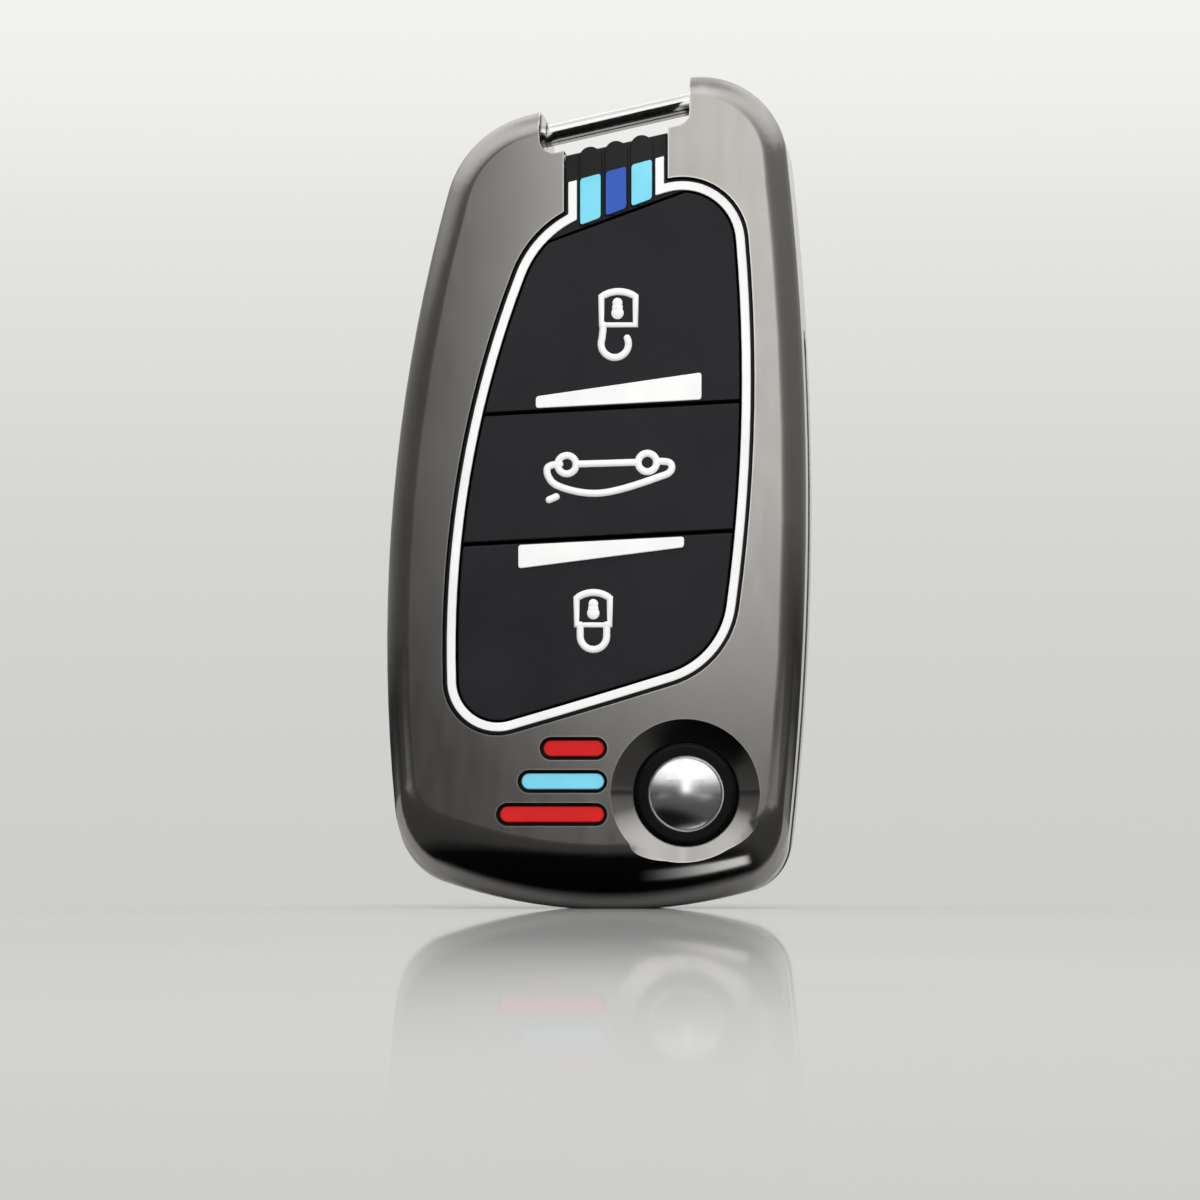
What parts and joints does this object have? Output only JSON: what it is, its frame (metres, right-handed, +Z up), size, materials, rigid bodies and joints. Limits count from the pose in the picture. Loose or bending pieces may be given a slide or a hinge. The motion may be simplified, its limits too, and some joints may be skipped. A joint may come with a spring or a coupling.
{
  "type": "key fob cover",
  "caption": "Hard two-part cover for a folding car key, with a silicone insert, press pads over the key's buttons, a domed blade release, a blade slot and a bar for the key ring.",
  "frame": {"origin": "middle of the outline, on the plane that the lower end stands on and on the parting plane", "axes": "+X to the right seen from the front, -Y out of the button face, +Z up towards the key-ring end"},
  "size_m": [0.041, 0.0202, 0.0812],
  "materials": {
    "shell_metal": "satin gunmetal plating",
    "bar_steel": "polished",
    "black_silicone": "matte",
    "pad_silicone": "satin",
    "white_print": "matte",
    "ring_silicone": "satin",
    "cap_chrome": "polished",
    "light_blue_silicone": "matte",
    "blue_silicone": "matte",
    "red_silicone": "matte"
  },
  "bodies": {
    "rear": {"rear_shell": "shell_metal", "rear_liner": "black_silicone", "key_ring_bar": "bar_steel"},
    "front": {"front_shell": "shell_metal", "front_liner": "black_silicone", "white_outline": "white_print", "release_ring": "ring_silicone", "tab_stripe_left": "light_blue_silicone", "tab_stripe_middle": "blue_silicone", "tab_stripe_right": "light_blue_silicone", "pill_bar_short": "red_silicone", "pill_bar_middle": "light_blue_silicone", "pill_bar_long": "red_silicone"},
    "unlock": {"unlock_button": "pad_silicone", "upper_wedge": "white_print"},
    "boot": {"boot_button": "pad_silicone"},
    "lock": {"lock_button": "pad_silicone", "lower_wedge": "white_print"},
    "release": {"release_cap": "cap_chrome"}
  },
  "joints": [
    {"name": "front_lift", "type": "slide", "parent": "rear", "child": "front", "axis": [0, -1, 0], "range_m": [0, 0.03]},
    {"name": "unlock_press", "type": "slide", "parent": "front", "child": "unlock", "axis": [0, 1, 0], "range_m": [0, 0.0008], "stiffness_N_per_m": 3750},
    {"name": "boot_press", "type": "slide", "parent": "front", "child": "boot", "axis": [0, 1, 0], "range_m": [0, 0.0008], "stiffness_N_per_m": 3750},
    {"name": "lock_press", "type": "slide", "parent": "front", "child": "lock", "axis": [0, 1, 0], "range_m": [0, 0.0008], "stiffness_N_per_m": 3750},
    {"name": "release_press", "type": "slide", "parent": "front", "child": "release", "axis": [0, 1, 0], "range_m": [0, 0.001], "stiffness_N_per_m": 3000}
  ]
}
